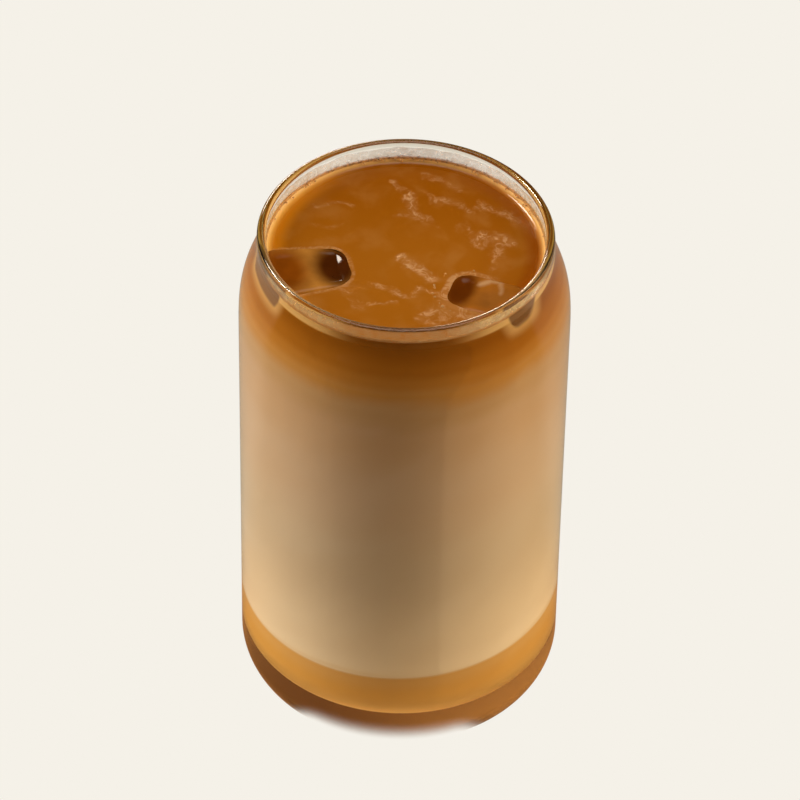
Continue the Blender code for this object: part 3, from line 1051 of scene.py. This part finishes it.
bump_values = {"Height": height, "Strength": BUMP_STRENGTH, "Distance": BUMP_HEIGHT}
bump = add(tree, "ShaderNodeBump", bump_values)
tree.links.new(bump.outputs[0], shader.inputs["Normal"])
dull = ease(tree, foam, 0.0, 1.0, *DULLNESS)
wet = calc(tree, "MULTIPLY", ease(tree, out, *WET_OUT), on_top)
dull = calc(tree, "MULTIPLY", dull, calc(tree, "MULTIPLY_ADD", wet, -WET_SHINE, 1.0))
tree.links.new(dull, shader.inputs["Roughness"])
shader.inputs["Specular IOR Level"].default_value = COFFEE_GLOSS
coffee_layer.data.materials.clear()
coffee_layer.data.materials.append(coffee)
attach(coffee_layer, "root")
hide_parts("coffee_layer")


# Swirling the drink has left a thin milky film on the wall above it, torn and speckled near the
# drink and with an uneven upper edge.
FILM_BOTTOM = 0.1282
FILM_TOP = 0.1316
FILM_THICKNESS = 0.00012
FILM_OFF_WALL = 0.00003
FILM_STEPS = 8
FILM_TEAR = 0.0004
FILM_TEAR_SIZE = 0.004
FILM_WAVE = 0.0012
TIDE_HEIGHTS = (FILM_BOTTOM + 0.0013, FILM_BOTTOM + 0.0007)
SPECK_HEIGHTS = (FILM_BOTTOM + 0.0020, FILM_BOTTOM + 0.0008)
SPECK_EDGES = (0.52, 0.60)
FILM_COVER = (0.20, 0.46)
TIDE_COVER = 0.6
SPECK_COVER = 0.5
BACK_TURN = (0.55, 0.96)
BEHIND_TURN = (-0.4, 0.1)
MIDDLE_TURN = (-0.80, -0.97)
MIDDLE_GONE = 0.72
FILM_ROUGHNESS = 0.35
FILM_FRONT = (255, 230, 172)
FILM_CREAM = (202, 168, 108)
FILM_GREY = (250, 248, 236)
FILM_TIDE = (222, 168, 102)
FILM_SPECK = (168, 128, 84)

inner = RIM_RADIUS - WALL - FILM_OFF_WALL
heights = steps_between(FILM_BOTTOM, FILM_TOP, FILM_STEPS)
film_side = [(inner, z) for z in heights]
film_face = [(inner - FILM_THICKNESS, z) for z in reversed(heights)]
milk_film = turned("milk_film", [*film_side, *film_face, film_side[0]])
for spot in milk_film.data.vertices:
    share = (spot.co.z - FILM_BOTTOM) / (FILM_TOP - FILM_BOTTOM)
    tear = noise.noise(Vector((spot.co.x, spot.co.y, 0.0)) / FILM_TEAR_SIZE)
    spot.co.z += FILM_TEAR * tear * max(0.0, share - 0.5) * 2
film, tree, shader = new_material("dried_milk_film")
place, x, y, z, out = object_place(tree)
grain = add(tree, "ShaderNodeTexNoise", {"Vector": place, "Scale": 700.0, "Detail": 3.0})
grain = grain.outputs["Fac"]
specks = add(tree, "ShaderNodeTexNoise", {"Vector": place, "Scale": 1300.0, "Detail": 2.0})
turn = calc(tree, "DIVIDE", y, out)
at_back = ease(tree, turn, *BACK_TURN)
behind = ease(tree, turn, *BEHIND_TURN)
colour = blend(tree, at_back, tone(*FILM_CREAM), tone(*FILM_GREY))
colour = blend(tree, behind, tone(*FILM_FRONT), colour)
wave = calc(tree, "MULTIPLY_ADD", grain, FILM_WAVE, calc(tree, "SUBTRACT", z, FILM_WAVE / 2))
tide = ease(tree, wave, *TIDE_HEIGHTS)
colour = blend(tree, tide, colour, tone(*FILM_TIDE))
low = ease(tree, z, *SPECK_HEIGHTS)
dark = calc(tree, "MULTIPLY", ease(tree, specks.outputs["Fac"], *SPECK_EDGES), low)
dark = calc(tree, "MULTIPLY", dark, behind)
colour = blend(tree, dark, colour, tone(*FILM_SPECK))
tree.links.new(colour, shader.inputs["Base Color"])
cover = ease(tree, grain, 0.25, 0.75, *FILM_COVER)
middle = ease(tree, turn, *MIDDLE_TURN)
cover = calc(tree, "MULTIPLY", cover, calc(tree, "MULTIPLY_ADD", middle, -MIDDLE_GONE, 1.0))
cover = calc(tree, "MAXIMUM", cover, calc(tree, "MULTIPLY", tide, TIDE_COVER))
cover = calc(tree, "MAXIMUM", cover, calc(tree, "MULTIPLY", dark, SPECK_COVER))
tree.links.new(cover, shader.inputs["Alpha"])
shader.inputs["Roughness"].default_value = FILM_ROUGHNESS
milk_film.data.materials.append(film)
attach(milk_film, "root")


# Small bubbles stand along the drink's edge, in clusters, and round the left end of the right cube.
# They are skins of milky coffee, painted as pale rings with a darker middle: the pale ring is a
# painted sheen where the skin turns edge-on.
BUBBLE_CLUSTERS = [
    # degrees round from the front, spread in degrees, how many
    (-4, 13, 44),
    (20, 6, 8),
    (150, 14, 20),
    (118, 8, 8),
    (-165, 16, 14),
    (-128, 10, 8),
]
BUBBLE_SIZES = (0.00014, 0.00030)
BUBBLE_RISE = 0.8
EDGE_SCATTER = 0.0006
RING_BUBBLES = 14
RING_RADIUS = 0.0074
RING_SCATTER = 0.0008
RING_WAYS = (95, 265)
RING_OFFSET = (-0.0040, 0.0012)
BUBBLE_MIDDLE = (222, 168, 98)
BUBBLE_RIM_SHEEN = (252, 230, 184)
BUBBLE_ROUGHNESS = 0.25
BUBBLE_SOLIDITY = 0.5

random.seed(11)
spots = []
for middle, spread, many in BUBBLE_CLUSTERS:
    for i in range(many):
        way = math.radians(random.gauss(middle, spread))
        size = random.uniform(*BUBBLE_SIZES)
        off = inner_radius(DRINK_TOP) - size - random.uniform(0.0, EDGE_SCATTER)
        rise = DRINK_TOP + MENISCUS_HEIGHT * BUBBLE_RISE
        spots.append((off * math.sin(way), -off * math.cos(way), rise, size))
cube = ICE_CUBES["ice_cube_right"]
ring_x, ring_y = (cube["centre"][i] + RING_OFFSET[i] for i in range(2))
for i in range(RING_BUBBLES):
    way = math.radians(random.uniform(*RING_WAYS) + cube["turn"][2])
    size = random.uniform(*BUBBLE_SIZES)
    off = RING_RADIUS + random.uniform(0.0, RING_SCATTER)
    spots.append((ring_x + off * math.cos(way), ring_y + off * math.sin(way), DRINK_TOP, size))
bpy.ops.object.select_all(action="DESELECT")
bubbles = []
for x, y, z, size in spots:
    bpy.ops.mesh.primitive_ico_sphere_add(subdivisions=2, radius=size, location=(x, y, z))
    bubbles.append(bpy.context.object)
for bubble in bubbles:
    bubble.select_set(True)
bpy.ops.object.join()
bubbles = bpy.context.object
bubbles.name = "edge_bubbles"
bpy.ops.object.transform_apply(location=True)
bpy.ops.object.shade_smooth()
skin, tree, shader = new_material("bubble_skin")
edge_on = add(tree, "ShaderNodeLayerWeight", {"Blend": 0.45}).outputs["Facing"]
colour = blend(tree, ease(tree, edge_on, 0.2, 0.9), tone(*BUBBLE_MIDDLE), tone(*BUBBLE_RIM_SHEEN))
tree.links.new(colour, shader.inputs["Base Color"])
shader.inputs["Roughness"].default_value = BUBBLE_ROUGHNESS
shader.inputs["Alpha"].default_value = BUBBLE_SOLIDITY
bubbles.data.materials.append(skin)
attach(bubbles, "root")
